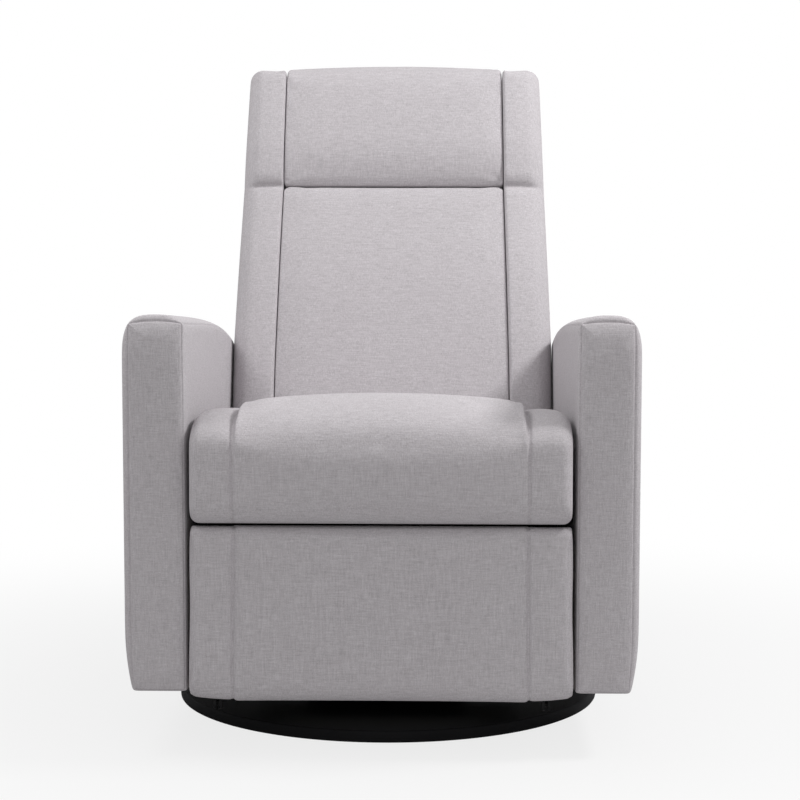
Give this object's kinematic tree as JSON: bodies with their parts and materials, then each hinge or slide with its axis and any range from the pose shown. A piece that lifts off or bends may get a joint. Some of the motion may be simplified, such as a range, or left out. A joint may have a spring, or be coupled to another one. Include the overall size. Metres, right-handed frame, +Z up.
{
  "type": "swivel glider recliner",
  "caption": "Upholstered armchair on a round swivel base that glides, with a reclining back, a fold-out footrest and a release paddle in one arm.",
  "frame": {"origin": "on the floor, under the swivel axis at the middle of the round base", "axes": "+Z up, the sitter faces -Y, +X to the right of someone who looks at the chair's front"},
  "size_m": [0.7498, 0.908, 1.0486],
  "materials": {
    "upholstery": "finely woven, heathered light grey polyester cloth",
    "black_paint": "satin black powder coat",
    "zinc_steel": "zinc-plated pressed steel",
    "black_steel": "black painted steel tube and bar",
    "plywood": "plain sanded plywood",
    "rubber": "moulded black rubber",
    "black_plastic": "moulded black plastic",
    "webbing": "woven deck cloth over springs"
  },
  "bodies": {
    "base": {"floor_ring": "rubber", "base_disc": "black_paint", "swivel_lower_plate": "zinc_steel", "ball_ring": "zinc_steel"},
    "turntable": {"swivel_upper_plate": "black_steel", "turntable_bar_front": "black_steel", "turntable_bar_rear": "black_steel", "glide_post_front_left": "black_steel", "glide_post_front_right": "black_steel", "glide_post_rear_left": "black_steel", "glide_post_rear_right": "black_steel"},
    "link_front_left": {"glide_link_front_left": "zinc_steel"},
    "link_front_right": {"glide_link_front_right": "zinc_steel"},
    "link_rear_left": {"glide_link_rear_left": "zinc_steel"},
    "link_rear_right": {"glide_link_rear_right": "zinc_steel"},
    "carriage": {"carriage_rail_left": "black_steel", "carriage_rail_right": "black_steel", "carriage_tube_front": "black_steel", "carriage_tube_rear": "black_steel", "side_plate_left": "zinc_steel", "side_plate_right": "zinc_steel", "arm_core_left": "plywood", "arm_core_right": "plywood", "arm_pad_left": "upholstery", "arm_pad_right": "upholstery", "release_cup": "black_plastic"},
    "release_paddle": {"release_paddle": "black_plastic"},
    "drive_links": {"drive_link_left": "black_steel", "drive_link_right": "black_steel", "drive_tube": "black_steel"},
    "cross_links": {"cross_link_left": "black_steel", "cross_link_right": "black_steel"},
    "lift_links": {"lift_link_left": "black_steel", "lift_link_right": "black_steel"},
    "guide_links": {"guide_link_left": "black_steel", "guide_link_right": "black_steel"},
    "footrest": {"footrest_bracket_left": "black_steel", "footrest_bracket_right": "black_steel", "footrest_board": "plywood", "footrest_pad": "upholstery"},
    "seat": {"seat_rail_left": "black_steel", "seat_rail_right": "black_steel", "seat_tube_front": "black_steel", "seat_tube_rear": "black_steel", "seat_deck": "webbing", "seat_cushion": "upholstery"},
    "back": {"back_post_left": "plywood", "back_post_right": "plywood", "back_rail_lower": "plywood", "back_rail_upper": "plywood", "recline_bracket_left": "zinc_steel", "recline_bracket_right": "zinc_steel", "back_lower_pad": "upholstery", "head_pad": "upholstery", "back_wing_left": "upholstery", "back_wing_right": "upholstery", "outside_back": "upholstery"}
  },
  "joints": [
    {"name": "swivel", "type": "hinge", "parent": "base", "child": "turntable", "pos_m": [0, 0, 0.03], "axis": [0, 0, 1], "continuous": true},
    {"name": "glide", "type": "hinge", "parent": "turntable", "child": "link_front_left", "pos_m": [-0.192, -0.15, 0.228], "axis": [1, 0, 0], "range_deg": [-12, 12]},
    {"name": "glide_link_front_right_hinge", "type": "hinge", "parent": "turntable", "child": "link_front_right", "pos_m": [0.192, -0.15, 0.228], "axis": [1, 0, 0], "range_deg": [-12, 12]},
    {"name": "glide_link_rear_left_hinge", "type": "hinge", "parent": "turntable", "child": "link_rear_left", "pos_m": [-0.192, 0.15, 0.228], "axis": [1, 0, 0], "range_deg": [-12, 12]},
    {"name": "glide_link_rear_right_hinge", "type": "hinge", "parent": "turntable", "child": "link_rear_right", "pos_m": [0.192, 0.15, 0.228], "axis": [1, 0, 0], "range_deg": [-12, 12]},
    {"name": "carriage_hinge", "type": "hinge", "parent": "link_front_left", "child": "carriage", "pos_m": [-0.205, -0.15, 0.098], "axis": [1, 0, 0], "range_deg": [-12, 12]},
    {"name": "release_pull", "type": "hinge", "parent": "carriage", "child": "release_paddle", "pos_m": [-0.3665, -0.239, 0.43], "axis": [0, 0, 1], "range_deg": [0, 35], "stiffness_Nm_per_rad": 0.2, "springref_deg": -17.19},
    {"name": "drive_link_hinge", "type": "hinge", "parent": "carriage", "child": "drive_links", "pos_m": [0, -0.33, 0.099], "axis": [-1, 0, 0], "range_deg": [-30, 0]},
    {"name": "footrest_extend", "type": "hinge", "parent": "drive_links", "child": "cross_links", "pos_m": [0, -0.34045, 0.19845], "axis": [-1, 0, 0], "range_deg": [0, 116]},
    {"name": "lift_link_hinge", "type": "hinge", "parent": "cross_links", "child": "lift_links", "pos_m": [0, -0.35091, 0.099], "axis": [-1, 0, 0], "range_deg": [-116, 0]},
    {"name": "guide_link_hinge", "type": "hinge", "parent": "cross_links", "child": "guide_links", "pos_m": [0, -0.35446, 0.06519], "axis": [-1, 0, 0], "range_deg": [-116, 0]},
    {"name": "footrest_hinge", "type": "hinge", "parent": "lift_links", "child": "footrest", "pos_m": [0, -0.37181, 0.2979], "axis": [-1, 0, 0], "range_deg": [0, 116]},
    {"name": "seat_slide", "type": "slide", "parent": "carriage", "child": "seat", "axis": [0, -1, 0], "range_m": [0, 0.03]},
    {"name": "back_recline", "type": "hinge", "parent": "seat", "child": "back", "pos_m": [0, 0.17, 0.327], "axis": [-1, 0, 0], "range_deg": [0, 30]}
  ],
  "couplings": [
    {"joint": "glide_link_front_right_hinge", "follows": "glide", "ratio": 1},
    {"joint": "glide_link_rear_left_hinge", "follows": "glide", "ratio": 1},
    {"joint": "glide_link_rear_right_hinge", "follows": "glide", "ratio": 1},
    {"joint": "carriage_hinge", "follows": "glide", "ratio": -1},
    {"joint": "drive_link_hinge", "follows": "footrest_extend", "ratio": -0.25862},
    {"joint": "lift_link_hinge", "follows": "footrest_extend", "ratio": -1},
    {"joint": "guide_link_hinge", "follows": "footrest_extend", "ratio": -1},
    {"joint": "footrest_hinge", "follows": "footrest_extend", "ratio": 1},
    {"joint": "seat_slide", "follows": "back_recline", "m_per_rad": 0.05729}
  ]
}
